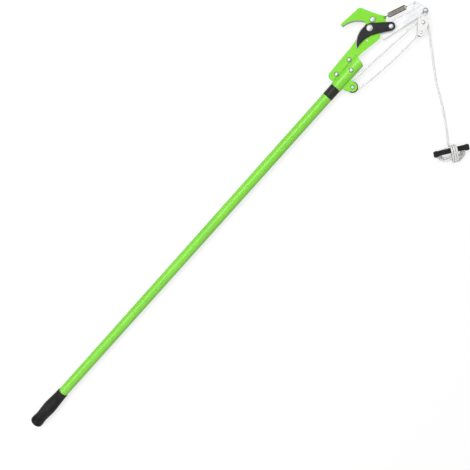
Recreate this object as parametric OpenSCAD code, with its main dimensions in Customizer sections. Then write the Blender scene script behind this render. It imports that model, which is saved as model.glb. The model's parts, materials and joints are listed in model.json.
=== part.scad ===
// Rope-pulled bypass pruner on a fixed pole, lying flat with the front of its head up (+Z).
// +X runs along the pole from the butt of the grip to the cutting head, +Y to the hook side.

/* [Pole] */
// Outside diameter of the pole tube
pole_d = 28; // [26:0.5:30]
// Wall of the pole tube
pole_wall = 1.2; // [0.8:0.1:2]
// Length of the pole tube
pole_len = 1310; // [900:10:1800]
// Length of the bare band below the socket
band_len = 31; // [15:1:60]
// Thickness of the band
band_t = 0.4; // [0.3:0.1:0.8]

/* [Grip] */
// Length of the moulded grip
grip_len = 126; // [100:1:180]
// Thickness of the closed end
grip_end = 6; // [4:0.5:10]
// Rubber over the tube at the flared butt
butt_wall = 3.9; // [3:0.1:5]
// Rubber over the tube at the waist
waist_wall = 2.4; // [1.5:0.1:3.5]
// Rubber over the tube at the belly
belly_wall = 4.5; // [3.5:0.1:6]
// Rubber over the tube at the mouth
mouth_wall = 1.4; // [1:0.1:2.5]
// Rounding of the butt edge
butt_round = 7; // [4:0.5:9]

/* [Socket shells] */
// Thickness of the pressed sheet
sheet_t = 1.5; // [1:0.1:2]
// Length of the socket
socket_len = 90; // [80:1:100]
// Gap between the tube and the shells
shell_fit = 0.1; // [0.05:0.05:0.3]
// Slant of the socket's upper end
socket_slant = 14; // [0:1:25]
// Height of the flange above the pole axis at the head end
flange_y = 39; // [36:0.5:42]
// Radius of the ear round its axle
ear_r = 11.5; // [10:0.5:12.5]
// Distance of the ear axle from the socket's lower end
ear_x = 28; // [26:0.5:30]

/* [Hook plate] */
// Thickness of the plate
plate_t = 4; // [3:0.25:6]
// Radius of the inner edge of the hook
hook_r = 57.5; // [54:0.5:60]
// Width of the ground edge of the hook
hook_bevel = 4; // [2:0.5:6]
// Depth of the ground edge
hook_bevel_t = 1.6; // [0.5:0.1:2.5]
// Diameter of the hanging hole
hang_d = 5; // [4:0.5:6]

/* [Blade] */
// Thickness of the blade
blade_t = 3.5; // [2.5:0.25:5]
// Radius of the cutting edge
edge_r = 55.7; // [54:0.1:57]
// Width of the ground bevel
bevel_w = 6; // [3:0.5:8]
// Thickness left at the cutting edge
edge_t = 0.5; // [0.3:0.1:1]
// Radius of the blade's tail
tail_r = 10.5; // [9:0.5:12]
// Running gap between flat moving faces
slide_gap = 0.1; // [0.05:0.05:0.3]

/* [Lever] */
// Thickness of the lever's sheet
lever_t = 2; // [1.5:0.1:2.2]
// Depth of the channel
lever_h = 10; // [7:0.5:11]
// Outside radius of the channel's bends
bend_r = 3; // [2.5:0.1:4]
// Radius of the lever round the pivot
lever_eye_r = 12; // [10:0.5:13]

/* [Bolts] */
// Diameter of the pivot bolt's shoulder
pivot_d = 10; // [8:0.5:11]
// Radius of the pivot bolt's head
pivot_head_r = 8.2; // [7.5:0.1:9]
// Diameter of the small bolts
bolt_d = 6; // [5:0.5:6]
// Running clearance on the radius of a pin
run_fit = 0.05; // [0.02:0.01:0.08]
// Radius of the stop bolt's head
stop_head_r = 6.2; // [5:0.1:6.4]

/* [Return spring] */
// Outside diameter of the coil
spring_d = 13.4; // [11:0.2:14]
// Wire of the spring
wire_d = 1.8; // [1.4:0.1:2]
// Full turns of the coil
spring_turns = 18; // [10:1:19]
// Distance from turn to turn
spring_pitch = 2.5; // [2.4:0.1:2.7]

/* [Rope block] */
// Distance from the lever bolt to the sheave axle
block_reach = 30; // [29:0.5:34]
// Distance from the sheave axle to the becket
block_tail = 24; // [23:0.5:28]
// Radius of the rope's line round the sheave
sheave_line_r = 11; // [10:0.5:12]
// Radius of the rope's line round the ear pulley
ear_line_r = 12.5; // [12:0.1:13]
// Width of both pulleys
pulley_w = 8; // [7.5:0.1:8.2]
// Thickness of a block cheek
cheek_t = 3; // [2:0.25:4]

/* [Rope] */
// Diameter of the pull rope
rope_d = 5; // [4.5:0.1:5.4]
// Gap between the rope and what it lies on
rope_gap = 0.4; // [0.3:0.05:0.6]
// Bow of the slack lower strand
strand_bow = 5; // [3:0.5:7]

/* [Handle] */
// Length of the pull handle's bar
bar_len = 88; // [84:1:100]
// Width of the bar
bar_w = 13; // [11:0.5:14]
// Height of the bar
bar_h = 12; // [10:0.5:14]
// Reach of the end prongs from the bar's axis
prong_len = 9.5; // [8.5:0.5:14]

/* [Hidden] */
$fn = 64;
lime = [0.45, 0.8, 0.16];
silver = [0.78, 0.79, 0.8];
black = [0.06, 0.06, 0.065];
zinc = [0.66, 0.67, 0.68];
cream = [0.9, 0.88, 0.82];
bronze = [0.3, 0.24, 0.18];
white = [0.92, 0.92, 0.9];

// Places on the pole
pole_r = pole_d / 2;
floor_z = -pole_r - belly_wall;
socket_x = grip_end + pole_len - 75;
shell_r = pole_r + shell_fit + sheet_t;

// Places on the head, from the socket's lower end on the pole axis
flange_bolt_1 = [25, pole_r + 7];
flange_bolt_2 = [72, pole_r + 7.5];
rivet_at = [55.5, 0];
ear_at = [ear_x, -pole_r - 17];
pivot_at = [161, 36];
stop_at = [181, 44.5];
hook_c = [111, 30];
edge_c = [149, -5.5];
inner_c = [121, -40];
inner_r = 67.3;
tail_at = [198.5, -0.5];
spring_at = [204, 25.5];
lug_at = [278, -5.5];
lever_end = [281, -38];
hang_at = [136, 20];

// Levels
plate_z = plate_t / 2;
blade_z0 = plate_z + slide_gap;
blade_z1 = blade_z0 + blade_t;
lever_z1 = -plate_z - slide_gap;
lever_z0 = lever_z1 - lever_t;
cheek_z = pulley_w / 2 + 0.4;
ear_z = pulley_w / 2 + 0.4;
spring_z = spring_d / 2 + lever_z1 + 1;

// Block and rope lines
block_a = 211.5;
rope_r = rope_d / 2;
sheave_at = lever_end + block_reach * dir(block_a);
becket_at = lever_end + (block_reach + block_tail) * dir(block_a);
link_at = lever_end + 11.6 * dir(block_a);
line_a_dir = heading(sheave_at - ear_at) - asin((ear_line_r - sheave_line_r) / norm(sheave_at - ear_at));
line_a0 = ear_at + ear_line_r * dir(line_a_dir + 90);
line_a1 = sheave_at + sheave_line_r * dir(line_a_dir + 90);
bow_dir = bow_turn(bow_turn(bow_turn(bow_turn(-12))));
line_b0 = ear_at + ear_line_r * dir(bow_dir - 90);
eye_r = 2.2 + rope_r + 0.3;
knot_len = 10;
knot_at = becket_at - (eye_r + knot_len + 0.5) * dir(heading(becket_at - line_b0));
bow_len = norm(knot_at - line_b0);
bow_half = 2 * atan(2 * strand_bow / bow_len);
bow_r = bow_len / 2 / sin(bow_half);
fall_dir = 233.5;
fall_at = sheave_at + sheave_line_r * dir(fall_dir + 90);

// Handle, hank and wraps, in the handle's frame: X along the bar, Y to the fall side, Z from the floor
handle_at = [75, -321];
handle_a = -34.5;
lay = rope_d + rope_gap;
hank_step = rope_d + 1.7;
layer_step = rope_d + 1.2;
hank_a = 17.4;
hank_b = 17.4;
hank_y = -10;
waist_x = 5;
waist_in = 3;
low_z = rope_r;
bar_z0 = low_z + lay + layer_step + rope_r + rope_gap;
bar_z = bar_z0 + bar_h / 2;
bar_round = 3;
prong_r = bar_h / 2 + 0.4;
wrap_pitch = rope_d + 0.7;
wrap_x0 = -1.7;
wrap_turns = 2.68;
wrap_r = lay;
hank_half = hank_b - waist_in;
wrap_core = [[5, low_z + lay], [5, low_z + lay + layer_step],
    [bar_w / 2 - bar_round, bar_z0 + bar_h - bar_round],
    [bar_round - bar_w / 2, bar_z0 + bar_h - bar_round],
    [hank_y - hank_half - 0.1, low_z + lay + layer_step],
    [hank_y - hank_half - 0.1, low_z + lay]];

// Small helpers
function dir(a) = [cos(a), sin(a)];
function heading(v) = atan2(v.y, v.x);
function unit(v) = v / norm(v);
function bow_turn(d) = let (from = ear_at + ear_line_r * dir(d - 90), to = becket_at - from)
    heading(to) - 2 * atan(2 * strand_bow / norm(to));
function flat(p, z) = [p.x, p.y, z];
function in_head(p) = [p.x + socket_x, p.y, p.z];
function smooth(a, b, x) = let (t = min(1, max(0, (x - a) / (b - a)))) t * t * (3 - 2 * t);
function bezier(a, b, c, d, n) = [for (i = [0:n]) let (t = i / n, s = 1 - t)
    s * s * s * a + 3 * s * s * t * b + 3 * s * t * t * c + t * t * t * d];
function tangent(p, i) = unit(p[min(i + 1, len(p) - 1)] - p[max(i - 1, 0)]);
function carried(n, t) = unit(n - (n * t) * t);
function normals(p, n0) = [for (i = 0, n = carried(n0, tangent(p, 0)); i < len(p);
    i = i + 1, n = carried(n, tangent(p, min(i, len(p) - 1)))) n];
function ring(p, i, n, r, sides) = let (b = cross(tangent(p, i), n))
    [for (k = [0:sides - 1]) p[i] + r * (cos(360 * k / sides) * n + sin(360 * k / sides) * b)];
function self_gap(p, skip, r) = min([for (i = [0:len(p) - 1 - skip]) for (j = [i + skip:len(p) - 1])
    norm(p[i] - p[j])]) - 2 * r;

module at_head() {
    translate([socket_x, 0, 0]) children();
}

module at_handle() {
    translate([socket_x + handle_at.x, handle_at.y, floor_z]) rotate([0, 0, handle_a]) children();
}

module slab(z0, z1) {
    translate([0, 0, z0]) linear_extrude(z1 - z0) children();
}

module pin(p, r, z0, z1) {
    translate([p.x, p.y, z0]) cylinder(r = r, h = z1 - z0);
}

module hex(p, across, z0, z1) {
    translate([p.x, p.y, z0]) cylinder(r = across / 2 / cos(30), h = z1 - z0, $fn = 6);
}

// A shallow dome of radius r and height h standing on z
module dome(p, r, z, h) {
    ball = (r * r + h * h) / 2 / h;
    translate([p.x, p.y, z]) rotate_extrude() intersection() {
        translate([0, h - ball]) circle(r = ball, $fn = 96);
        square([r, h]);
    }
}

module spot(p, r) {
    translate([p.x, p.y]) circle(r = r);
}

// The straight sides between two circles
module bridge(a, ra, b, rb) {
    way = heading(b - a);
    lean = acos((ra - rb) / norm(b - a));
    polygon([a + ra * dir(way + lean), b + rb * dir(way + lean), b + rb * dir(way - lean),
        a + ra * dir(way - lean)]);
}

module oblong(a, ra, b, rb, z0, z1) {
    pin(a, ra, z0, z1);
    pin(b, rb, z0, z1);
    slab(z0, z1) bridge(a, ra, b, rb);
}

// A tube of n sides along points, its frame carried along without twist
module tube(p, r, sides, n0) {
    n = normals(p, n0);
    last = len(p) - 1;
    points = [for (i = [0:last]) each ring(p, i, n[i], r, sides)];
    walls = [for (i = [0:last - 1]) for (k = [0:sides - 1]) let (a = i * sides + k,
        b = i * sides + (k + 1) % sides) each [[a, a + sides, b + sides], [a, b + sides, b]]];
    caps = [for (k = [1:sides - 2]) each [[0, k, k + 1],
        [last * sides, last * sides + k + 1, last * sides + k]]];
    polyhedron(points, concat(walls, caps));
}

// Pole, grip and band
module pole_tube() color(lime) {
    difference() {
        translate([grip_end, 0, 0]) rotate([0, 90, 0]) cylinder(r = pole_r, h = pole_len);
        translate([grip_end - 1, 0, 0]) rotate([0, 90, 0])
            cylinder(r = pole_r - pole_wall, h = pole_len + 2);
        at_head() pin(rivet_at, 2.5 + run_fit, -pole_d, pole_d);
    }
}

function grip_wall(x) = x < 10 ? butt_wall
    : x < 26 ? butt_wall + (waist_wall - butt_wall) * smooth(10, 26, x)
    : x < 64 ? waist_wall + (belly_wall - waist_wall) * smooth(26, 64, x)
    : belly_wall + (mouth_wall - belly_wall) * smooth(64, grip_len - 6, x);

module hand_grip() color(black) {
    butt_r = pole_r + butt_wall;
    side = [for (x = [10:4:grip_len - 4]) [pole_r + grip_wall(x), x]];
    edge = [for (a = [0:15:75]) [butt_r - butt_round * (1 - sin(a)), butt_round * (1 - cos(a))]];
    rotate([90, 0, 90]) rotate_extrude($fn = 96) polygon(concat([[0, 0]], edge, side,
        [[pole_r + mouth_wall, grip_len], [pole_r + 0.1, grip_len],
        [pole_r + 0.1, grip_end], [0, grip_end]]));
}

module label_band() color(black) {
    translate([socket_x - band_len - 1, 0, 0]) rotate([0, 90, 0]) difference() {
        cylinder(r = pole_r + band_t, h = band_len);
        translate([0, 0, -1]) cylinder(r = pole_r, h = band_len + 2);
    }
}

// Socket shells: half round the pole, with a flange for the hook plate and an ear for the pulley
module flange_2d() {
    polygon([[6, 10], [6, 26], [15, 36.3], [socket_len, flange_y], [socket_len, 10]]);
    spot([16, 26], 10);
}

module ear_2d() {
    spot(ear_at, ear_r);
    polygon([[ear_x - 19, -10], [ear_x - 18, ear_at.y + 7], ear_at + ear_r * dir(215), ear_at,
        ear_at + ear_r * dir(0), [ear_x + 9, -10]]);
}

module half_shell() {
    difference() {
        union() {
            intersection() {
                rotate([0, 90, 0]) cylinder(r = shell_r, h = socket_len);
                union() {
                    translate([0, -40, 0.4]) cube([socket_len, 40, 40]);
                    translate([0, 0, plate_z]) cube([socket_len, 40, 40]);
                }
            }
            slab(plate_z, plate_z + sheet_t) flange_2d();
            slab(ear_z, ear_z + sheet_t) ear_2d();
        }
        translate([-1, 0, 0]) rotate([0, 90, 0]) cylinder(r = pole_r + shell_fit, h = socket_len + 2);
        translate([socket_len, 10, -1]) rotate([0, 0, -socket_slant])
            translate([0, -60, 0]) cube([40, 60, 40]);
        pin(flange_bolt_1, bolt_d / 2 + run_fit, -1, 40);
        pin(flange_bolt_2, bolt_d / 2 + run_fit, -1, 40);
        pin(rivet_at, 2.5 + run_fit, -1, 40);
        pin(ear_at, bolt_d / 2 + run_fit, -1, 40);
    }
}

module front_shell() color(lime) {
    at_head() half_shell();
}

module rear_shell() color(lime) {
    at_head() mirror([0, 0, 1]) half_shell();
}

// Hook plate: shank, neck, hook and the tail that holds the spring
module plate_body() {
    difference() {
        union() {
            slab(-plate_z, plate_z) polygon([[8, pole_r + 0.6], [8, 26], [15, 35.6],
                [socket_len, flange_y - 0.8], [111, 41],
                [121.5, 96.5], [170, 90.6], [185.4, 79], [199, 43.5], [208.5, 25], [200, 17], [176, 12],
                [166.4, 8], [160, 0.4], [150, 0.8], [128, 5], [104, 9], [86, 10.4], [80, 11],
                [80, pole_r + 0.6]]);
            pin([173.5, 78.6], 12, -plate_z, plate_z);
            pin([158, 9], 8.7, -plate_z, plate_z);
            pin(spring_at, 4.2, -plate_z, plate_z);
        }
        intersection() {
            pin(hook_c, hook_r, -9, 9);
            slab(-9, 9) polygon([[100, 40], [111, 41], [134, 44.5], [156, 46.3], [163, 51], [180, 60],
                [180, 120],
                [60, 120], [60, 60]]);
        }
    }
}

module hook_plate() color(lime) {
    at_head() difference() {
        plate_body();
        translate([hook_c.x, hook_c.y, 0]) rotate([0, 0, 26]) rotate_extrude(angle = 70, $fn = 180)
            polygon([[hook_r - 1, plate_z - hook_bevel_t - 0.4], [hook_r + hook_bevel, plate_z],
                [hook_r + hook_bevel, plate_z + 1], [hook_r - 1, plate_z + 1]]);
        pin(pivot_at, pivot_d / 2 + run_fit, -9, 9);
        pin(stop_at, bolt_d / 2 + run_fit, -9, 9);
        pin(flange_bolt_1, bolt_d / 2 + run_fit, -9, 9);
        pin(flange_bolt_2, bolt_d / 2 + run_fit, -9, 9);
        pin(spring_at, wire_d / 2 + 0.7, -9, 9);
        pin(hang_at, hang_d / 2, -9, 9);
    }
}

// A round-headed bolt from the front
module bolt(p, r, head_r, head_h, top, bottom) {
    difference() {
        union() {
            dome(p, head_r, top, head_h);
            pin(p, r, bottom, top + 0.5);
        }
        hex(p, r, top + head_h - 1.4, top + head_h + 1);
    }
}

// A nut with a bore for its bolt
module nut(p, r, across, z0, z1) {
    difference() {
        hex(p, across, z0, z1);
        pin(p, r + run_fit, z0 - 1, z1 + 1);
    }
}

module flange_bolts() color(silver) {
    at_head() {
        bolt(flange_bolt_1, bolt_d / 2, 5.6, 3, plate_z + sheet_t, -plate_z - sheet_t - 6.5);
        bolt(flange_bolt_2, bolt_d / 2, 5.6, 3, plate_z + sheet_t, -plate_z - sheet_t - 6.5);
    }
}

module flange_nuts() color(silver) {
    at_head() {
        nut(flange_bolt_1, bolt_d / 2, 10, -plate_z - sheet_t - 5, -plate_z - sheet_t);
        nut(flange_bolt_2, bolt_d / 2, 10, -plate_z - sheet_t - 5, -plate_z - sheet_t);
    }
}

module pole_rivet() color(silver) {
    at_head() {
        dome(rivet_at, 5.2, shell_r, 2.6);
        pin(rivet_at, 2.5, -shell_r - 0.5, shell_r + 0.5);
        mirror([0, 0, 1]) dome(rivet_at, 5.2, shell_r, -floor_z - shell_r);
    }
}

module stop_bolt() color(silver) {
    at_head() difference() {
        union() {
            pin(stop_at, stop_head_r, plate_z, blade_z1);
            dome(stop_at, stop_head_r, blade_z1, 1.6);
            pin(stop_at, bolt_d / 2, -plate_z - 6.5, plate_z + 1);
        }
        hex(stop_at, 4, blade_z1, blade_z1 + 4);
    }
}

module stop_nut() color(silver) {
    at_head() nut(stop_at, bolt_d / 2, 10, -plate_z - 5, -plate_z);
}

module pivot_bolt() color(silver) {
    at_head() difference() {
        union() {
            pin(pivot_at, pivot_head_r, blade_z1 + 0.15, blade_z1 + 1.4);
            dome(pivot_at, pivot_head_r, blade_z1 + 1.4, 3.4);
            pin(pivot_at, pivot_d / 2, lever_z0 - 1.8, blade_z1 + 1);
            pin(pivot_at, pivot_d / 2 - 1, lever_z0 - 10.4, blade_z0);
        }
        hex(pivot_at, 5, blade_z1 + 3, blade_z1 + 6);
    }
}

module pivot_washer() color(silver) {
    at_head() difference() {
        pin(pivot_at, 9, lever_z0 - 1.8, lever_z0 - 0.2);
        pin(pivot_at, pivot_d / 2 + run_fit, lever_z0 - 3, lever_z0 + 1);
    }
}

module pivot_nut() color(silver) {
    at_head() nut(pivot_at, pivot_d / 2 - 1, 13, lever_z0 - 8.4, lever_z0 - 1.8);
}

module ear_axle() color(silver) {
    at_head() bolt(ear_at, bolt_d / 2, 5, 2.8, ear_z + sheet_t, -ear_z - sheet_t - 5);
}

module ear_nut() color(silver) {
    at_head() nut(ear_at, bolt_d / 2, 10, -ear_z - sheet_t - 4, -ear_z - sheet_t);
}

// A grooved wheel for the rope with a bore for its axle
module grooved_wheel(line_r, bore_r) {
    difference() {
        rotate_extrude($fn = 72) difference() {
            translate([0, -pulley_w / 2]) square([line_r + 1.2, pulley_w]);
            translate([line_r, 0]) circle(r = rope_r + 0.3, $fn = 48);
            translate([line_r, -rope_r - 0.3]) square([9, rope_d + 0.6]);
        }
        translate([0, 0, -pulley_w]) cylinder(r = bore_r, h = pulley_w * 2);
        for (a = [0:72:288])
            rotate([0, 0, a]) translate([(bore_r + line_r - rope_r) / 2, 0, pulley_w / 2 - 1])
                cylinder(r = 1.3, h = 3);
    }
}

module ear_pulley() color(black) {
    at_head() translate([ear_at.x, ear_at.y, 0]) grooved_wheel(ear_line_r, bolt_d / 2 + run_fit);
}

// Blade: a hooked jaw between two arcs and a straight tail
module blade_body() {
    back = dir(-45.9);
    side = dir(44.1);
    foot = dir(233.1);
    difference() {
        intersection() {
            pin(edge_c, edge_r, blade_z0, blade_z1);
            slab(0, 20) polygon([[90, 0], [90, 60], [163.5, 60], [163.5, 14], [150, 0]]);
        }
        pin(inner_c, inner_r, 0, 20);
    }
    intersection() {
        slab(blade_z0, blade_z1) polygon([tail_at + tail_r * side - 54 * back, tail_at + tail_r * side,
            tail_at + tail_r * foot, [159.3, 15.8], [152, 26], [156, 44]]);
        union() {
            pin(edge_c, edge_r, 0, 20);
            translate([172, -20, 0]) cube([60, 60, 20]);
        }
    }
    pin(tail_at, tail_r, blade_z0, blade_z1);
}

module blade() color(black) {
    at_head() difference() {
        blade_body();
        translate([edge_c.x, edge_c.y, 0]) rotate([0, 0, 78]) rotate_extrude(angle = 75, $fn = 180)
            polygon([[edge_r - bevel_w, blade_z1], [edge_r + 1, blade_z0 + edge_t - 0.4],
                [edge_r + 1, blade_z1 + 1], [edge_r - bevel_w, blade_z1 + 1]]);
        pin(pivot_at, pivot_d / 2 + run_fit, 0, 20);
        pin(tail_at, 3 + run_fit, 0, 20);
    }
}

// Lever: a pressed channel behind the plate, joined to the blade at the pivot and the tail
lever_low_0 = [164, -10.5];
lever_low_1 = [256, -37.4];
lever_top_0 = [208, 7.2];
lever_top_1 = [264, -14];

module lever_web() {
    pin(pivot_at, lever_eye_r, lever_z0, lever_z1);
    slab(lever_z0, lever_z1) polygon([pivot_at + 0.9 * lever_eye_r * dir(200), [166, 2], lever_low_0,
        lever_low_1 + [0.3, 0.9], [270, -40.8], [284, -47], [287, -44], [287.5, -28], [284.5, -9], lug_at,
        [271, -9], lever_top_1, lever_top_0, [190, 20], pivot_at + 0.9 * lever_eye_r * dir(50)]);
    pin(lug_at, 4.6, lever_z0, lever_z1);
}

module bend_profile() {
    translate([0, lever_z1 - lever_h]) square([lever_t, lever_h - bend_r]);
    translate([bend_r, lever_z1 - bend_r]) intersection() {
        difference() {
            circle(r = bend_r);
            circle(r = bend_r - lever_t);
        }
        translate([-bend_r, 0]) square(bend_r);
    }
    translate([bend_r, lever_z0]) square([3, lever_t]);
}

module along(a, b) {
    translate([a.x, a.y, 0]) rotate([0, 0, heading(b - a)]) children();
}

module lever() color(zinc) {
    at_head() difference() {
        union() {
            difference() {
                lever_web();
                along(lever_low_0, lever_low_1) translate([-9, -9, -20])
                    cube([norm(lever_low_1 - lever_low_0) + 9, 8.6 + bend_r, 40]);
                along(lever_top_1, lever_top_0) translate([0, -9, -20])
                    cube([norm(lever_top_0 - lever_top_1), 8.6 + bend_r, 40]);
            }
            along(lever_low_0, lever_low_1) rotate([90, 0, 90])
                linear_extrude(norm(lever_low_1 - lever_low_0)) bend_profile();
            along(lever_top_1, lever_top_0) rotate([90, 0, 90])
                linear_extrude(norm(lever_top_0 - lever_top_1)) bend_profile();
        }
        pin(pivot_at, pivot_d / 2 + run_fit, -30, 9);
        pin(tail_at, 3 + run_fit, -30, 9);
        pin(lever_end, 3 + run_fit, -30, 9);
        pin(lug_at, wire_d / 2 + 0.9, -30, 9);
    }
}

module tail_rivet() color(silver) {
    at_head() {
        dome(tail_at, 6, blade_z1, 2.4);
        pin(tail_at, 3, lever_z0 - 0.5, blade_z1 + 0.5);
        translate([0, 0, 2 * lever_z0]) mirror([0, 0, 1]) dome(tail_at, 5, lever_z0, 2);
    }
}

module tail_spacer() color(silver) {
    at_head() difference() {
        pin(tail_at, 6, lever_z1, blade_z0);
        pin(tail_at, 3 + run_fit, -9, 9);
    }
}

module lever_bolt() color(silver) {
    at_head() {
        dome(lever_end, 4.5, 1.8, 2.2);
        pin(lever_end, 3, lever_z0 - 5, 2.2);
    }
}

module lever_nut() color(silver) {
    at_head() nut(lever_end, 3, 8, lever_z0 - 3.6, lever_z0);
}

// Return spring: a hook through the plate's tail, a close coil and a straight end for the link
spring_line = heading(lug_at - spring_at);
spring_len = norm(lug_at - spring_at);
coil_r = (spring_d - wire_d) / 2;
coil_x0 = 5.5;
coil_ease = 3.4;
coil_len = spring_turns * spring_pitch;
coil_x1 = coil_x0 + coil_len + 2 * coil_ease;
spring_rings = 8 * (spring_turns + 2);
function spring_turn(i) = i / 8;
function spring_x(t) = coil_x0 + coil_ease * min(1, t) + spring_pitch * min(spring_turns, max(0, t - 1))
    + coil_ease * max(0, t - 1 - spring_turns);
function spring_rad(t) = coil_r * smooth(0, 1, t) * (1 - smooth(spring_turns + 1, spring_turns + 2, t));
hook_pts = [for (z = [-3:1.1:-0.8]) [0, 0, z - plate_z]];
hook_bend = [for (a = [0:22.5:90]) [2.4 * (1 - cos(a)), 0, spring_z - 2.4 + 2.4 * sin(a)]];
coil_pts = [for (i = [0:spring_rings]) let (t = spring_turn(i)) [spring_x(t),
    spring_rad(t) * sin(360 * t), spring_z + spring_rad(t) * cos(360 * t)]];
spring_pts = concat(hook_pts, hook_bend, coil_pts, [[coil_x1 + wire_d * 1.2, 0, spring_z]]);

module return_spring() color(bronze) {
    echo("spring gap", self_gap(coil_pts, 6, wire_d / 2));
    at_head() translate([spring_at.x, spring_at.y, 0]) rotate([0, 0, spring_line])
        tube(spring_pts, wire_d / 2, 6, [0, 1, 0]);
}

// Link: the straight wire from the coil to the lever's lug, hooked down through the lug
module spring_link() color(zinc) {
    from = coil_x1 + wire_d * 1.2;
    at_head() translate([spring_at.x, spring_at.y, 0]) rotate([0, 0, spring_line]) {
        translate([from, 0, spring_z]) rotate([0, 90, 0])
            cylinder(r = wire_d / 2, h = spring_len - 3 - from);
        translate([spring_len - 3, 0, spring_z - 3]) rotate([90, 0, 0])
            rotate_extrude(angle = 90) translate([3, 0]) circle(r = wire_d / 2, $fn = 24);
        translate([spring_len, 0, lever_z0 - 3]) cylinder(r = wire_d / 2, h = spring_z - lever_z0);
    }
}

// Rope block: a dark link on the lever bolt and two cheeks round a sheave, with a becket in the tail
module block_link() color(black) {
    at_head() difference() {
        oblong(lever_end, 6.2, link_at, 5, -1.6, 1.6);
        pin(lever_end, 3 + run_fit, -9, 9);
        pin(link_at, 2 + run_fit, -9, 9);
    }
}

module cheek() {
    difference() {
        union() {
            oblong(sheave_at, sheave_line_r + 2.8, becket_at, 9, cheek_z, cheek_z + cheek_t);
            oblong(sheave_at, sheave_line_r + 1, link_at, 5, cheek_z, cheek_z + cheek_t);
        }
        pin(sheave_at, 3 + run_fit, 0, 20);
        pin(link_at, 2 + run_fit, 0, 20);
        pin(becket_at, 2.2 + run_fit, 0, 20);
    }
}

module block_front_cheek() color(cream) {
    at_head() cheek();
}

module block_rear_cheek() color(cream) {
    at_head() mirror([0, 0, 1]) cheek();
}

module block_sheave() color(cream) {
    at_head() translate([sheave_at.x, sheave_at.y, 0]) grooved_wheel(sheave_line_r, 3 + run_fit);
}

// A pin through both cheeks with a low head at each end
module cheek_pin(p, r, head_r, head_h) {
    pin(p, r, -cheek_z - cheek_t, cheek_z + cheek_t);
    dome(p, head_r, cheek_z + cheek_t, head_h);
    mirror([0, 0, 1]) dome(p, head_r, cheek_z + cheek_t, head_h);
}

module block_axle() color(silver) {
    at_head() cheek_pin(sheave_at, 3, 5, 2);
}

module link_pin() color(silver) {
    at_head() cheek_pin(link_at, 2, 3.4, 1.4);
}

module becket_pin() color(silver) {
    at_head() cheek_pin(becket_at, 2.2, 3.6, 1.4);
}

// Rope: an eye on the becket, two strands, two turns and the fall to the handle
module becket_eye() color(white) {
    way = heading(line_b0 - becket_at);
    at_head() translate([becket_at.x, becket_at.y, 0]) {
        rotate([0, 0, way + 130]) rotate_extrude() translate([eye_r, 0]) circle(r = rope_r);
        rotate([0, 0, way]) translate([eye_r - 0.6, 0, 0]) rotate([0, 90, 0]) rotate([0, 0, 40]) {
            cylinder(r = rope_r - 0.2, h = knot_len + 0.6);
            translate([0, 0, 4]) cylinder(r = rope_r + 1, h = knot_len - 5);
        }
    }
}

module rope_strand_a() color(white) {
    at_head() translate([line_a0.x, line_a0.y, 0]) rotate([0, 0, line_a_dir]) rotate([0, 90, 0])
        cylinder(r = rope_r, h = norm(line_a1 - line_a0), $fn = 32);
}

// The slack strand is an arc of a wide circle
module rope_strand_b() color(white) {
    chord = heading(knot_at - line_b0);
    mid = (line_b0 + knot_at) / 2;
    centre = mid + bow_r * cos(bow_half) * dir(chord + 90);
    at_head() translate([centre.x, centre.y, 0]) rotate([0, 0, chord - 90 - bow_half])
        rotate_extrude(angle = 2 * bow_half, $fn = 720) translate([bow_r, 0]) circle(r = rope_r, $fn = 24);
}

module rope_ear_turn() color(white) {
    start = line_a_dir + 90;
    stop = heading(knot_at - line_b0) - bow_half - 90 + 360;
    at_head() translate([ear_at.x, ear_at.y, 0]) rotate([0, 0, start])
        rotate_extrude(angle = stop - start, $fn = 96)
            translate([ear_line_r, 0]) circle(r = rope_r, $fn = 24);
}

module rope_sheave_turn() color(white) {
    start = fall_dir + 90 - 360;
    at_head() translate([sheave_at.x, sheave_at.y, 0]) rotate([0, 0, start])
        rotate_extrude(angle = line_a_dir + 90 - start, $fn = 96) translate([sheave_line_r, 0])
            circle(r = rope_r, $fn = 24);
}

// Handle frame to head frame
function from_handle(p) = [handle_at.x + p.x * cos(handle_a) - p.y * sin(handle_a),
    handle_at.y + p.x * sin(handle_a) + p.y * cos(handle_a), floor_z + p.z];

// The wraps follow the outline round the hank and the bar at one rope's width, corner by corner
function core_way(i) = heading(wrap_core[(i + 1) % 6] - wrap_core[i]);
function corner_arc(i) = let (a = core_way((i + 5) % 6) - 90, turn = (core_way(i) - 90 - a + 720) % 360)
    [for (k = [0:3]) wrap_core[i] + wrap_r * dir(a + turn * k / 3)];
wrap_loop = [for (i = [0:5]) each corner_arc(i)];
wrap_rings = floor(24 * wrap_turns);
wrap_way = [for (i = 0, s = 0; i <= 24;
    s = s + norm(wrap_loop[(i + 1) % 24] - wrap_loop[i % 24]), i = i + 1) s];
wrap_pts = [for (i = [4:wrap_rings + 4]) let (q = wrap_loop[i % 24])
    [wrap_x0 + wrap_pitch * (floor(i / 24) + wrap_way[i % 24] / wrap_way[24]), q.x, q.y]];

module handle_wraps() color(white) {
    echo("wrap gap", self_gap(wrap_pts, 12, rope_r));
    at_handle() tube(wrap_pts, rope_r, 6, [1, 0, 0]);
}

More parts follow.
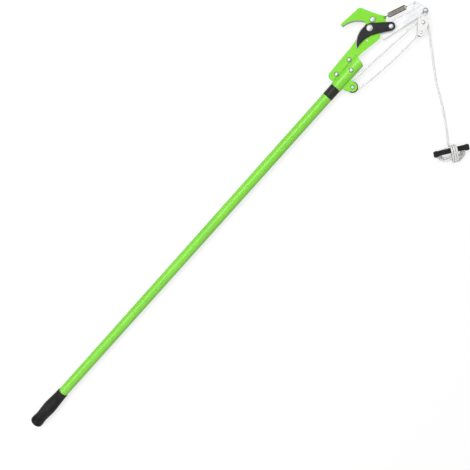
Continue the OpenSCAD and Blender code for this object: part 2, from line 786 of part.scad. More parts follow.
// Hank: flat loops that spiral in on the floor, climb and spiral out again on top
function hank_turns_in(t) = t < 1.5 ? t : t < 2 ? 1.5 : 3.5 - t;
function hank_layer(t) = smooth(1.5, 2, t);
function hank_lift(x) = lay * (1 - smooth(10.5, 26, abs(x - waist_x)));
function hank_end(c) = c * 1.118 / sqrt(c * c + 0.25);
function hank_pt(t) = let (a = 45 - 360 * t, b = hank_b - hank_step * hank_turns_in(t),
    x = hank_a * hank_end(cos(a)) + b * cos(a), in = waist_in * exp(-pow((x - waist_x) / 12, 2)))
    [x, hank_y - (b - in) * sin(a), low_z + hank_lift(x) + layer_step * hank_layer(t)];
hank_loops = [for (i = [0:84]) hank_pt(i / 24)];
lead_0 = wrap_pts[wrap_rings];
lead_1 = hank_loops[0];
lead_t = unit(hank_loops[1] - hank_loops[0]);
lead_pts = bezier(lead_0, lead_0 + [1.2, -1.4, -7], lead_1 - 8 * lead_t, lead_1, 8);
hank_pts = concat([for (i = [0:7]) lead_pts[i]], hank_loops);

module rope_hank() color(white) {
    echo("hank gap", self_gap(hank_pts, 9, rope_r));
    at_handle() tube(hank_pts, rope_r, 6, [0, 1, 0]);
}

// The fall lies on the floor from below the block to the handle
fall_z = floor_z + rope_r + 0.02;
fall_end = wrap_pts[0] - [0, 0, 2 * rope_gap];
fall_turn = fall_end.z - rope_r - 0.02;
fall_in = [fall_end.x + 1, fall_end.y + fall_turn, rope_r + 0.02];
fall_rise = bezier(fall_in, fall_in - [0.5, 0.55 * fall_turn, 0],
    fall_end - [0, 0, 0.55 * fall_turn], fall_end, 7);
fall_route = [flat(fall_at + 10 * dir(fall_dir), -1), [247, -85, -4], [232, -105, -9], [211, -133, -14.2],
    [192, -157, fall_z], [172, -184, fall_z], [153, -215, fall_z], [134, -243, fall_z],
    [115, -269, fall_z], [102, -286, fall_z], from_handle(fall_in)];
fall_pts = concat([flat(fall_at, 0), flat(fall_at + 4 * dir(fall_dir), 0)], round_route(fall_route),
    [for (p = fall_rise) from_handle(p)]);
function round_route(p) = [for (i = [0:len(p) - 2]) each [for (k = [0:1]) let (t = k / 2,
    a = p[max(0, i - 1)], b = p[i], c = p[i + 1], d = p[min(len(p) - 1, i + 2)])
    b + t * (c - a) / 2 + t * t * (a - 2.5 * b + 2 * c - d / 2)
        + t * t * t * (1.5 * b - 1.5 * c + (d - a) / 2)]];

module rope_fall() color(white) {
    at_head() tube(fall_pts, rope_r, 10, [0, 0, 1]);
}

// Pull handle: a rounded bar with a short prong at each end
module bar_2d() {
    x = bar_w / 2 - bar_round;
    y = bar_h / 2 - bar_round;
    for (i = [-1, 1])
        for (j = [-1, 1])
            spot([i * x, j * y], bar_round);
    square([bar_w, 2 * y], center = true);
    square([2 * x, bar_h], center = true);
}

// A round bar across the end of the handle, domed at both ends
module prong() {
    root = bar_w / 2 + 1;
    half = (root + prong_len) / 2;
    rotate([90, 0, 0]) translate([0, 0, half - root]) rotate_extrude() intersection() {
        circle(r = half, $fn = 96);
        translate([0, -half]) square([prong_r, 2 * half]);
    }
}

module pull_handle() color(black) {
    prong_x = bar_len / 2 - bar_h / 2;
    at_handle() translate([0, 0, bar_z]) difference() {
        union() {
            translate([1 - prong_x, 0, 0]) rotate([90, 0, 90]) linear_extrude(2 * prong_x - 2) bar_2d();
            for (i = [-1, 1])
                translate([i * prong_x, 0, 0]) prong();
        }
        translate([waist_x, 0, -bar_h]) cylinder(r = rope_r + 0.2, h = 2 * bar_h);
    }
}

pole_tube();
hand_grip();
label_band();
front_shell();
rear_shell();
hook_plate();
flange_bolts();
flange_nuts();
pole_rivet();
stop_bolt();
stop_nut();
pivot_bolt();
pivot_washer();
pivot_nut();
ear_axle();
ear_nut();
ear_pulley();
blade();
lever();
tail_rivet();
tail_spacer();
lever_bolt();
lever_nut();
return_spring();
spring_link();
block_link();
block_front_cheek();
block_rear_cheek();
block_sheave();
block_axle();
link_pin();
becket_pin();
becket_eye();
rope_strand_a();
rope_strand_b();
rope_ear_turn();
rope_sheave_turn();
rope_fall();
handle_wraps();
rope_hank();
pull_handle();
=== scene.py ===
import json
import math
import bpy
import numpy as np
from mathutils import Matrix, Vector


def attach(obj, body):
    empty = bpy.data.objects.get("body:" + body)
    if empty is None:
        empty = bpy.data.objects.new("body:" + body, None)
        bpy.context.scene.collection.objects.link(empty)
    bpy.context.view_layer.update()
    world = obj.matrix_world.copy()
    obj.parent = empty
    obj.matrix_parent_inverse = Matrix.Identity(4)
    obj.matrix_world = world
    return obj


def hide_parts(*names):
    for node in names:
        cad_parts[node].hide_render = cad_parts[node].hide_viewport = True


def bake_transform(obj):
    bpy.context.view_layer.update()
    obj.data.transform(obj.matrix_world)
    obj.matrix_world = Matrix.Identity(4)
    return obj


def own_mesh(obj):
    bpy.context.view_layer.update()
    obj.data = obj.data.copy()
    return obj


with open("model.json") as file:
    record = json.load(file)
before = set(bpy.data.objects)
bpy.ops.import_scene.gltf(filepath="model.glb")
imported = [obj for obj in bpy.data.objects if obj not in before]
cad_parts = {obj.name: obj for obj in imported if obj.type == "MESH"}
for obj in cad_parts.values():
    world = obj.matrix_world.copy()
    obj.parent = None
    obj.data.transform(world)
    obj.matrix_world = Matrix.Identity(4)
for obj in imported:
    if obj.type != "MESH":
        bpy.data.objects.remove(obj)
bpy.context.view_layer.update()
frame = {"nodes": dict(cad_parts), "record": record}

nodes = frame["nodes"]
scene = bpy.context.scene
mm = 0.001  # lengths below are in mm unless a note says metres
headX = 1241.0  # the socket's lower end along the pole
floorZ = -18.5
zAxis = np.array([0, 0, 1.0])
print("frame loaded", len(nodes), "nodes")


# v over its own length
def unit(v):
    v = np.asarray(v, float)
    return v / np.linalg.norm(v, axis=-1, keepdims=True)


# (cos a, sin a), a in degrees
def direction(deg):
    turn = math.radians(deg)
    return np.array([math.cos(turn), math.sin(turn)])


def heading(v):
    return math.degrees(math.atan2(v[1], v[0]))


# smooth step 3 t^2 - 2 t^3 from 0 at low to 1 at high
def smooth(low, high, x):
    share = np.clip((np.asarray(x, float) - low) / (high - low), 0, 1)
    return share * share * (3 - 2 * share)


# camera: f 700 px on a 470 px frame, tilted back from straight overhead
camSet = {"target": (786.3, -61.5, 0.0), "distance": 1850.0, "tilt": 9.88, "roll": 47.83,
          "focalPx": 700.0, "framePx": 470.0, "sensor": 36, "reach": 50}
tilt = math.radians(camSet["tilt"])
roll = math.radians(camSet["roll"])
camBack = Vector((math.sin(tilt), 0, math.cos(tilt)))
poleWay = Vector((math.cos(tilt), 0, -math.sin(tilt)))
sideWay = Vector((0, 1, 0))
camRight = poleWay * math.cos(roll) - sideWay * math.sin(roll)
camUp = poleWay * math.sin(roll) + sideWay * math.cos(roll)
camData = bpy.data.cameras.new("camera")
camData.sensor_width = camSet["sensor"]
camData.sensor_fit = "HORIZONTAL"
camData.lens = camSet["sensor"] * camSet["focalPx"] / camSet["framePx"]
camData.clip_end = camSet["reach"]
camObj = bpy.data.objects.new("camera", camData)
scene.collection.objects.link(camObj)
camPose = Matrix((camRight, camUp, camBack)).transposed().to_4x4()
camPose.translation = (Vector(camSet["target"]) + camBack * camSet["distance"]) * mm
camObj.matrix_world = camPose
scene.camera = camObj
print("camera set")


def rgba(value):
    return value if isinstance(value, Sock) else (*value, 1)


# a node's socket that takes part in Python expressions
class Sock:
    def __init__(self, tree, out):
        self.tree = tree
        self.out = out

    def also(self, name):
        return Sock(self.tree, self.out.node.outputs[name])  # another output of the same node

    def math(self, operation, *others):
        return self.tree.node("ShaderNodeMath", {"operation": operation}, dict(enumerate((self, *others))))

    def __add__(self, other):
        return self.math("ADD", other)

    def __radd__(self, other):
        return self.math("ADD", other)

    def __sub__(self, other):
        return self.math("SUBTRACT", other)

    def __rsub__(self, other):
        return self.tree.node("ShaderNodeMath", {"operation": "SUBTRACT"}, {0: other, 1: self})

    def __mul__(self, other):
        return self.math("MULTIPLY", other)

    def __rmul__(self, other):
        return self.math("MULTIPLY", other)

    def ramp(self, low, high):
        # smooth step from 0 at low to 1 at high
        return self.tree.node("ShaderNodeMapRange", {"interpolation_type": "SMOOTHSTEP"},
                              {"Value": self, "From Min": low, "From Max": high}, "Result")

    def mix(self, low, high):
        # colour low at 0, high at 1; 6, 7 and output 2 are the node's colour sockets
        sockets = {0: self, 6: rgba(low), 7: rgba(high)}
        return self.tree.node("ShaderNodeMix", {"data_type": "RGBA"}, sockets, 2)


class Tree:
    def __init__(self, tree):
        self.tree = tree

    def node(self, kind, settings, sockets, out=0):
        # a node of any kind: its settings first, then a link or a value for each socket
        made = self.tree.nodes.new(kind)
        for name, value in settings.items():
            setattr(made, name, value)
        self.wire(made, sockets)
        return Sock(self, made.outputs[out])

    def wire(self, made, sockets):
        for name, value in sockets.items():
            if isinstance(value, Sock):
                self.tree.links.new(value.out, made.inputs[name])
            else:
                made.inputs[name].default_value = value

    def axes(self, vector):
        x = self.node("ShaderNodeSeparateXYZ", {}, {0: vector})
        return x, x.also(1), x.also(2)

    def seen(self):
        # 1 for rays from the camera, mirrors and glass, 0 for spread light
        rays = self.node("ShaderNodeLightPath", {}, {}, "Is Camera Ray")
        mirrored = rays.math("MAXIMUM", rays.also("Is Glossy Ray"))
        return mirrored.math("MAXIMUM", rays.also("Is Transmission Ray"))


class Paint(Tree):
    def __init__(self, name, color, rough, constants):
        self.mat = bpy.data.materials.new(name)
        self.mat.use_nodes = True
        self.mat.diffuse_color = rgba(color)
        super().__init__(self.mat.node_tree)
        self.bsdf = self.tree.nodes["Principled BSDF"]
        self.feed({"Base Color": rgba(color), "Roughness": rough, **constants})
        self.pos = self.node("ShaderNodeTexCoord", {}, {}, "Object")
        self.x, self.y, self.z = self.axes(self.pos)

    def feed(self, sockets):
        self.wire(self.bsdf, sockets)

    def vector(self, x, y, z):
        return self.node("ShaderNodeCombineXYZ", {}, {0: x, 1: y, 2: z})

    def noise(self, scale, detail=4.0, vector=None):
        return self.node("ShaderNodeTexNoise", {}, {"Vector": vector or self.pos, "Scale": scale,
                                                    "Detail": detail, "Roughness": 0.55})

    def cells(self, scale):
        return self.node("ShaderNodeTexVoronoi", {}, {"Vector": self.pos, "Scale": scale}, "Distance")

    def tones(self, grain, low, high, dark, light):
        # noise from a dark to a light tone
        return self.noise(*grain).ramp(low, high).mix(dark, light)

    def reach(self, middle):
        # offsets from a point on the head and the distance from it, in metres
        fx = self.x - (headX + middle[0]) * mm
        fy = self.y - middle[1] * mm
        return fx, fy, (fx * fx + fy * fy).math("SQRT")

    def ring(self, heads, inner, outer):
        # 1 up to "inner" past the rim of the nearest head, fading out at "outer"
        best = None
        for hx, hy, radius in heads:
            past = self.reach((hx, hy))[2] - radius * mm
            best = past if best is None else best.math("MINIMUM", past)
        return best.ramp(outer * mm, inner * mm)

    def edge(self, size):
        # 1 - n.m: 0 on flats, up to about 0.3 where the rounded normal m turns within "size"
        rounded = self.node("ShaderNodeBevel", {"samples": 4}, {"Radius": size * mm})
        flat = self.node("ShaderNodeNewGeometry", {}, {}, "Normal")
        sockets = {0: flat, 1: rounded}
        return 1.0 - self.node("ShaderNodeVectorMath", {"operation": "DOT_PRODUCT"}, sockets, "Value")

    def worn(self, size, scale, amount):
        # edges broken up by noise: 1 where the surface is rubbed
        return (self.edge(size) * 3.0 + self.noise(scale) * 0.8).ramp(1.0 - amount, 1.25 - amount)

    def bump(self, height, strength, depth):
        sockets = {"Strength": strength, "Distance": depth * mm, "Height": height}
        self.feed({"Normal": self.node("ShaderNodeBump", {}, sockets)})


# lime paint: even gloss with faint orange peel, painted shade with dust at the bolts, painted shade along the
# flange's bend and at the grip's mouth, chipped edges
limeSet = {"base": (0.21, 0.73, 0.014), "light": (0.24, 0.78, 0.022), "shadeDustTone": (0.035, 0.10, 0.012),
           "scuff": (0.42, 0.86, 0.16), "primer": (0.24, 0.33, 0.16), "rough": 0.36, "clouds": (14, 3),
           "dust": (260, 3), "peel": (900.0, 2), "chips": (0.7, 320, 0.34), "gripMouth": (126.8, 131.5),
           "bendY": 16.8, "bendFrom": 8, "alongScale": 9, "acrossScale": 240}
shellHeads = [(25, 21, 5.6), (72, 21.5, 5.6), (55.5, 0, 5.2), (28, -31, 5.0)]  # x, y on the head, radius


def limeTone(paint):
    return paint.tones(limeSet["clouds"], 0.3, 0.72, limeSet["base"], limeSet["light"])


# painted shade round the bolt heads, broken up by dust noise
def headShadeAndDust(paint, heads, outer):
    return paint.ring(heads, 0.1, outer) * paint.noise(*limeSet["dust"]).ramp(0.2, 0.55)


def makeLime():
    paint = Paint("limePaint", limeSet["base"], limeSet["rough"],
                  {"Coat Weight": 0.55, "Coat Roughness": 0.08, "Coat IOR": 1.9, "Specular IOR Level": 0.05})
    x, y, z = paint.x, paint.y, paint.z
    lines = paint.vector(x * limeSet["alongScale"], y * limeSet["acrossScale"], z * limeSet["acrossScale"])
    scuff = paint.noise(1, 5, lines).ramp(0.66, 0.74)  # thin lines along the pole
    mouthShade = x.ramp(limeSet["gripMouth"][1] * mm, limeSet["gripMouth"][0] * mm)  # painted shade at the grip's mouth
    socketEnd = headX + limeSet["bendFrom"]
    bend = (y - limeSet["bendY"] * mm).math("ABSOLUTE").ramp(0.0011, 0.0003)
    bend = bend * x.ramp(socketEnd * mm, (socketEnd + 2) * mm) * z.ramp(0.0, 0.001)
    bend = bend * paint.noise(90, 3).ramp(0.2, 0.6)  # painted shade in the flange's bend, broken up by noise
    chips = paint.worn(*limeSet["chips"])
    tone = (scuff * 0.35).mix(limeTone(paint), limeSet["scuff"])
    tone = (bend * 0.6).mix(tone, limeSet["shadeDustTone"])
    # painted shade with dust at the bolt heads, and the painted shade at the grip's mouth
    shadeAndDust = headShadeAndDust(paint, shellHeads, 1.7).math("MAXIMUM", mouthShade)
    tone = (shadeAndDust * 0.85).mix(tone, limeSet["shadeDustTone"])
    rough = paint.noise(60) * 0.16 + scuff * 0.2 + chips * 0.15 + 0.24
    paint.feed({"Base Color": (chips * 0.8).mix(tone, limeSet["primer"]), "Roughness": rough})
    paint.bump(paint.noise(*limeSet["peel"]) - scuff * 0.6, 0.06, 0.4)
    return paint


# hook plate: the same paint, ground to grey along the inner edge of the hook
hookSet = {"centre": (111, 30), "radius": 57.5, "width": 3.6, "ragged": 0.9, "front": (1.9, 1.75),
           "from": (18, 24), "dark": (0.16, 0.18, 0.13), "steel": (0.34, 0.36, 0.33),
           "heads": [(181, 44.5, 6.2), (204, 25.5, 2.2)], "chips": (0.7, 320, 0.38)}


def makeHook():
    paint = Paint("hookPaint", limeSet["base"], limeSet["rough"],
                  {"Coat Weight": 0.6, "Coat Roughness": 0.2, "Specular IOR Level": 0.15})
    x, y, z = paint.x, paint.y, paint.z
    fx, fy, radius = paint.reach(hookSet["centre"])
    rim = hookSet["radius"] + hookSet["width"]
    ragged = radius + paint.noise(180, 3) * 0.0012
    ground = ragged.ramp((rim + hookSet["ragged"]) * mm, rim * mm)
    ground = ground * fy.ramp(hookSet["from"][0] * mm, hookSet["from"][1] * mm)
    ground = ground * z.ramp(hookSet["front"][0] * mm, hookSet["front"][1] * mm)
    strokes = paint.noise(420, 2, paint.vector(fx * 0.2, fy * 3.0, z)) * 0.5 + 0.35
    chips = paint.worn(*hookSet["chips"])
    lines = paint.vector(x * 60 + y * 25, y * 300 - x * 120, z * 60)
    scuff = paint.noise(1, 5, lines).ramp(0.68, 0.76)
    tone = (scuff * 0.35).mix(limeTone(paint), limeSet["scuff"])
    # painted shade with dust round the bolt heads
    tone = (headShadeAndDust(paint, hookSet["heads"], 1.6) * 0.85).mix(tone, limeSet["shadeDustTone"])
    tone = (chips * 0.8).mix(tone, limeSet["primer"])
    steel = strokes.mix(hookSet["dark"], hookSet["steel"])
    paint.feed({"Base Color": ground.mix(tone, steel), "Metallic": ground * 0.75,
                "Roughness": ground * 0.12 + paint.noise(60) * 0.16 + 0.24})
    paint.bump(paint.noise(*limeSet["peel"]) - scuff * 0.6, 0.06, 0.4)
    return paint


# grip: moulded rubber, knurl = sin(2 pi x / rowStep) sin(rowCount a), with a fine grain; the knurl's rows
# carry a painted highlight, and lighter patches on the upper side are wear with painted sheen
gripSet = {"base": (0.012, 0.012, 0.013), "dark": (0.007, 0.007, 0.008), "light": (0.02, 0.02, 0.021),
           "rubbed": (0.034, 0.034, 0.035), "knurl": (0.034, 0.034, 0.035), "rowStep": 3.6, "rowCount": 20,
           "rowsFrom": (26, 34), "rowsTo": (104, 112), "rubbedFrom": (-4, 14)}


def makeGrip():
    paint = Paint("gripRubber", gripSet["base"], 0.5, {"Specular IOR Level": 0.09})
    around = (paint.y.math("ARCTAN2", paint.z) * gripSet["rowCount"]).math("SINE")
    rows = (paint.x * (2 * math.pi / (gripSet["rowStep"] * mm))).math("SINE") * around
    inRows = paint.x.ramp(gripSet["rowsFrom"][0] * mm, gripSet["rowsFrom"][1] * mm)
    inRows = inRows * paint.x.ramp(gripSet["rowsTo"][1] * mm, gripSet["rowsTo"][0] * mm)
    knurl = rows.ramp(0.1, 0.8) * inRows
    # lighter patches on the upper side only: wear and painted sheen
    upper = paint.z.ramp(gripSet["rubbedFrom"][0] * mm, gripSet["rubbedFrom"][1] * mm)
    rubbed = paint.noise(26).ramp(0.42, 0.72) * upper
    tone = paint.tones((70,), 0.3, 0.75, gripSet["dark"], gripSet["light"])
    tone = (rubbed * 0.6).mix(tone, gripSet["rubbed"])
    # the knurl's rows lighter: painted highlight on the ridges
    paint.feed({"Base Color": (knurl * 0.5).mix(tone, gripSet["knurl"]),
                "Roughness": paint.noise(120) * 0.2 - rubbed * 0.1 + 0.4})
    paint.bump(knurl * 2.0 + paint.cells(1100) * 0.5 + paint.noise(500, 3) * 0.3, 0.25, 0.4)
    return paint


# plain dark film round the tube
filmSet = {"base": (0.014, 0.018, 0.012), "dark": (0.010, 0.014, 0.009), "light": (0.024, 0.03, 0.02)}


def makeFilm():
    paint = Paint("bandFilm", filmSet["base"], 0.3,
                  {"Coat Weight": 0.08, "Coat Roughness": 0.1, "Specular IOR Level": 0.15})
    paint.feed({"Base Color": paint.tones((50, 3), 0.3, 0.7, filmSet["dark"], filmSet["light"]),
                "Roughness": paint.noise(90) * 0.2 + 0.22})
    paint.bump(paint.noise(300, 2), 0.06, 0.3)
    return paint


# bright zinc: turned heads with fine scratches, and dark rims of painted shade and painted reflection
zincSet = {"base": (0.72, 0.73, 0.74), "dark": (0.46, 0.47, 0.48), "light": (0.70, 0.71, 0.72),
           "rim": (0.13, 0.13, 0.13)}
zincHeads = shellHeads + [(161, 36, 8.2), (181, 44.5, 6.2), (198.5, -0.5, 6.0), (281, -38, 4.5),
                          (255.4, -53.7, 5.0), (271.1, -44.1, 3.4), (235, -66.2, 3.6)]


def makeZinc():
    paint = Paint("zincBright", zincSet["base"], 0.28, {"Metallic": 1.0})
    # dark band across each head's rim: painted shade and painted reflection, broken up by noise
    rim = paint.ring(zincHeads, 0.3, 0.7) - paint.ring(zincHeads, -1.3, -0.3)
    rim = rim * paint.noise(300, 3).ramp(0.15, 0.5)
    bright = paint.tones((160,), 0.3, 0.7, zincSet["dark"], zincSet["light"])
    paint.feed({"Base Color": (rim * 0.8).mix(bright, zincSet["rim"]),
                "Roughness": paint.noise(320, 5) * 0.26 + 0.26})
    paint.bump(paint.noise(700), 0.08, 0.2)
    return paint


# blade: black coating, ground bright along the cutting edge
bladeSet = {"base": (0.012, 0.012, 0.013), "dark": (0.008, 0.008, 0.009), "light": (0.022, 0.022, 0.024),
            "rubbed": (0.13, 0.13, 0.135), "honed": (0.3, 0.31, 0.32), "centre": (149, -5.5), "radius": 55.7,
            "width": 2.2, "tipSide": (160, 156), "above": (20, 30), "worn": (0.5, 380, 0.36)}


def makeBlade():
    paint = Paint("bladeCoat", bladeSet["base"], 0.42,
                  {"Coat Weight": 0.04, "Coat Roughness": 0.3, "Specular IOR Level": 0.2})
    fx, fy, radius = paint.reach(bladeSet["centre"])
    inner = bladeSet["radius"] - bladeSet["width"]
    honed = (radius + paint.noise(240, 2) * 0.0004).ramp(inner * mm, (inner + 0.5) * mm)
    heel, tip = bladeSet["tipSide"]
    honed = honed * (paint.x * -1.0).ramp(-(headX + heel) * mm, -(headX + tip) * mm)
    honed = honed * fy.ramp(bladeSet["above"][0] * mm, bladeSet["above"][1] * mm)
    rubbed = paint.worn(*bladeSet["worn"])
    tone = paint.tones((35,), 0.3, 0.72, bladeSet["dark"], bladeSet["light"])
    tone = (rubbed * 0.6).mix(tone, bladeSet["rubbed"])
    paint.feed({"Base Color": honed.mix(tone, bladeSet["honed"]), "Metallic": honed * 0.9 + rubbed * 0.1,
                "Roughness": paint.noise(200) * 0.2 + 0.3})
    paint.bump(paint.noise(800, 3), 0.08, 0.2)
    return paint


# lever: pressed zinc with a draw direction, edges darkened with painted shade
leverSet = {"base": (0.8, 0.8, 0.81), "dark": (0.68, 0.69, 0.70), "light": (0.88, 0.89, 0.90),
            "rubbed": (0.24, 0.24, 0.25), "worn": (0.8, 300, 0.42)}


def makeLever():
    paint = Paint("leverZinc", leverSet["base"], 0.38, {"Metallic": 0.35})
    drawn = paint.noise(300, 4, paint.vector(paint.x * 0.06, paint.y + paint.x * 0.3, paint.z * 0.5))
    sheet = (drawn * 0.5 + paint.noise(30, 3) * 0.5).ramp(0.3, 0.7).mix(leverSet["dark"], leverSet["light"])
    # edges darkened: painted shade
    rubbed = paint.worn(*leverSet["worn"])
    paint.feed({"Base Color": (rubbed * 0.8).mix(sheet, leverSet["rubbed"]),
                "Roughness": drawn * 0.25 + 0.22})
    paint.bump(drawn, 0.06, 0.2)
    return paint


# spring wire: bronze, lighter on the coil's crest with a painted highlight and dark below it with painted
# shade
wireSet = {"base": (0.5, 0.45, 0.36), "dark": (0.27, 0.24, 0.195), "light": (0.46, 0.425, 0.365),
           "shadeBelowCrest": (0.055, 0.045, 0.033), "crest": (9.4, 12.2)}


def makeWire():
    paint = Paint("springWire", wireSet["base"], 0.3, {"Metallic": 1.0})
    # lighter on the crest: painted highlight; darker below it: painted shade
    crest = paint.z.ramp(wireSet["crest"][0] * mm, wireSet["crest"][1] * mm)
    tone = paint.tones((260,), 0.3, 0.7, wireSet["dark"], wireSet["light"])
    paint.feed({"Base Color": crest.mix(wireSet["shadeBelowCrest"], tone),
                "Roughness": paint.noise(500, 3) * 0.25 + 0.22})
    paint.bump(paint.noise(1500, 2), 0.06, 0.1)
    return paint


# dark steel: oxide, rubbed under the lever's bolt
steelSet = {"base": (0.014, 0.014, 0.016), "dark": (0.01, 0.01, 0.011), "light": (0.035, 0.035, 0.038),
            "bare": (0.36, 0.36, 0.37), "rubbed": (0.16, 0.16, 0.165), "bolt": (281, -38, 4.5),
            "worn": (0.5, 400, 0.38)}


def makeSteel():
    paint = Paint("darkSteel", steelSet["base"], 0.4, {"Metallic": 0.3})
    oxide = paint.tones((120,), 0.3, 0.7, steelSet["dark"], steelSet["light"])
    bare = paint.ring([steelSet["bolt"]], 2.2, 3.6) * paint.noise(200, 3).ramp(0.1, 0.5)
    oxide = (bare * 0.9).mix(oxide, steelSet["bare"])
    rubbed = paint.worn(*steelSet["worn"])
    paint.feed({"Base Color": (rubbed * 0.6).mix(oxide, steelSet["rubbed"]),
                "Roughness": paint.noise(300) * 0.25 + 0.28})
    paint.bump(paint.noise(900, 3), 0.08, 0.2)
    return paint


# block cheeks: cream nylon, edges darkened with painted shade
creamSet = {"base": (0.8, 0.77, 0.7), "dark": (0.87, 0.866, 0.85), "light": (0.94, 0.937, 0.925),
            "edgeShade": (0.3, 0.29, 0.27), "worn": (0.8, 300, 0.4)}


def makeCream():
    paint = Paint("creamNylon", creamSet["base"], 0.45,
                  {"Subsurface Weight": 0.08, "Subsurface Radius": (0.002, 0.0016, 0.001)})
    tone = paint.tones((60,), 0.3, 0.72, creamSet["dark"], creamSet["light"])
    # edges darkened: painted shade
    edgeShade = paint.worn(*creamSet["worn"])
    paint.feed({"Base Color": (edgeShade * 0.75).mix(tone, creamSet["edgeShade"]),
                "Roughness": paint.noise(200) * 0.2 + 0.34})
    paint.bump(paint.noise(700, 3), 0.08, 0.3)
    return paint


# handle: black moulding, edges lighter with wear and painted sheen
mouldSet = {"base": (0.012, 0.012, 0.013), "dark": (0.008, 0.008, 0.009), "light": (0.022, 0.022, 0.023),
            "rubbed": (0.075, 0.075, 0.077), "worn": (0.6, 380, 0.36)}


def makeMoulding():
    paint = Paint("blackMoulding", mouldSet["base"], 0.42, {"Specular IOR Level": 0.18})
    tone = paint.tones((70,), 0.3, 0.72, mouldSet["dark"], mouldSet["light"])
    # lighter edges: wear and painted sheen
    rubbed = paint.worn(*mouldSet["worn"])
    paint.feed({"Base Color": (rubbed * 0.5).mix(tone, mouldSet["rubbed"]),
                "Roughness": paint.noise(260) * 0.22 + 0.3})
    paint.bump(paint.cells(1400), 0.1, 0.2)
    return paint


# rope: white braid, with painted shade a touch darker between the yarns
braidSet = {"base": (0.83, 0.83, 0.81), "dark": (0.90, 0.90, 0.88), "light": (0.96, 0.96, 0.95),
            "creviceShade": (0.66, 0.66, 0.64)}


def makeBraid():
    paint = Paint("ropeBraid", braidSet["base"], 0.8,
                  {"Specular IOR Level": 0.25, "Sheen Weight": 0.25, "Subsurface Weight": 0.25,
                   "Subsurface Radius": (0.003, 0.003, 0.0028)})
    height = paint.node("ShaderNodeAttribute", {"attribute_name": "braid"}, {}, "Fac")
    tone = paint.tones((90,), 0.3, 0.7, braidSet["dark"], braidSet["light"])
    # darker between the yarns: painted shade
    paint.feed({"Base Color": height.ramp(0.1, 0.75).mix(braidSet["creviceShade"], tone),
                "Roughness": paint.noise(400, 3) * 0.2 + 0.66})
    paint.bump(paint.noise(2600), 0.35, 0.3)
    return paint


hookPaint = makeHook()
bronze = makeWire()
ropeMat = makeBraid()
bySlot = {"lime_paint": makeLime(), "black_rubber": makeGrip(), "band_black": makeFilm(),
          "zinc_bright": makeZinc(), "blade_black": makeBlade(), "lever_zinc": makeLever(),
          "spring_bronze": bronze, "dark_steel": makeSteel(), "cream_plastic": makeCream(),
          "black_plastic": makeMoulding(), "rope_white": ropeMat}
for part in frame["record"]["subparts"]:
    finish = hookPaint if part["node"] == "hook_plate" else bySlot[part["material_slot"]]
    nodeMesh = nodes[part["node"]].data
    nodeMesh.materials.clear()
    nodeMesh.materials.append(finish.mat)
print("materials made")


# rings of points in order, joined by quads, closed round and capped at both ends
def gridMesh(name, points, finish, braid=None):
    rings, sides = points.shape[:2]
    ring, corner = np.meshgrid(np.arange(rings - 1), np.arange(sides), indexing="ij")
    here = ring * sides + corner
    beside = ring * sides + (corner + 1) % sides
    faces = np.stack([here, beside, beside + sides, here + sides], -1).reshape(-1, 4).tolist()
    faces.append(list(range(sides - 1, -1, -1)))
    faces.append(list(range((rings - 1) * sides, rings * sides)))
    mesh = bpy.data.meshes.new(name)
    mesh.from_pydata((points.reshape(-1, 3) * mm).tolist(), [], faces)
    mesh.polygons.foreach_set("use_smooth", np.ones(len(faces), bool))
    if braid is not None:
        layer = mesh.attributes.new("braid", "FLOAT", "POINT")
        layer.data.foreach_set("value", braid.reshape(-1).astype(np.float32))
    mesh.update()
    obj = bpy.data.objects.new(name, mesh)
    scene.collection.objects.link(obj)
    obj.data.materials.append(finish.mat)
    return obj


# the same line at even steps of its length
def resample(path, step):
    gaps = np.linalg.norm(np.diff(path, axis=0), axis=1)
    lengths = np.concatenate([[0], np.cumsum(gaps)])
    count = max(2, int(round(lengths[-1] / step)) + 1)
    even = np.linspace(0, lengths[-1], count)
    return np.stack([np.interp(even, lengths, path[:, axis]) for axis in range(3)], 1), even


# centripetal Catmull-Rom: knots a root of the distance apart, cubic between, then even steps
def smoothPath(path, step):
    pts = np.asarray(path, float)
    ext = np.vstack([2 * pts[0] - pts[1], pts, 2 * pts[-1] - pts[-2]])
    gap = np.sqrt(np.linalg.norm(np.diff(ext, axis=0), axis=1))
    u = np.linspace(0, 1, 12, endpoint=False)[:, None]
    out = []
    for i in range(len(pts) - 1):
        before, here, there, after = ext[i:i + 4]
        gapIn, gapMid, gapOut = gap[i:i + 3]
        chord = there - here
        leave = gapMid * ((here - before) / gapIn - (there - before) / (gapIn + gapMid) + chord / gapMid)
        arrive = gapMid * (chord / gapMid - (after - here) / (gapMid + gapOut) + (after - there) / gapOut)
        square = 3 * chord - 2 * leave - arrive
        cube = -2 * chord + leave + arrive
        out.append(here + u * leave + u * u * square + u ** 3 * cube)
    out.append(pts[-1:])
    return resample(np.vstack(out), step)


# along and two cross directions at each point, carried on with no twist
def frames(path, start):
    tangents = unit(np.gradient(path, axis=0))
    normals = np.empty_like(path)
    normal = np.asarray(start, float)
    for i, tangent in enumerate(tangents):
        normal = normal - (normal @ tangent) * tangent
        normal /= np.linalg.norm(normal)
        normals[i] = normal
    return normals, np.cross(tangents, normals)


# line + radius (cos a n + sin a b), a in radians
def sweep(line, start, radius, turn):
    normals, across = frames(line, start)
    rounds = np.cos(turn)[..., None] * normals[:, None] + np.sin(turn)[..., None] * across[:, None]
    return line[:, None] + radius * rounds


# braid: yarns p = na + s/l and q = na - s/l (a in turns), half round across,
# over and under by (-1)^i sin(pi q)
ropeSet = {"radius": 2.5, "depth": 0.34, "yarns": 8, "lay": 2.34, "sides": 48, "step": 0.42, "weave": 0.5}


def yarn(own, other, way):
    crown = np.sqrt(1 - (2 * (own % 1) - 1) ** 2)
    return crown + way * ropeSet["weave"] * (1 - 2 * (np.floor(own) % 2)) * np.sin(np.pi * other)


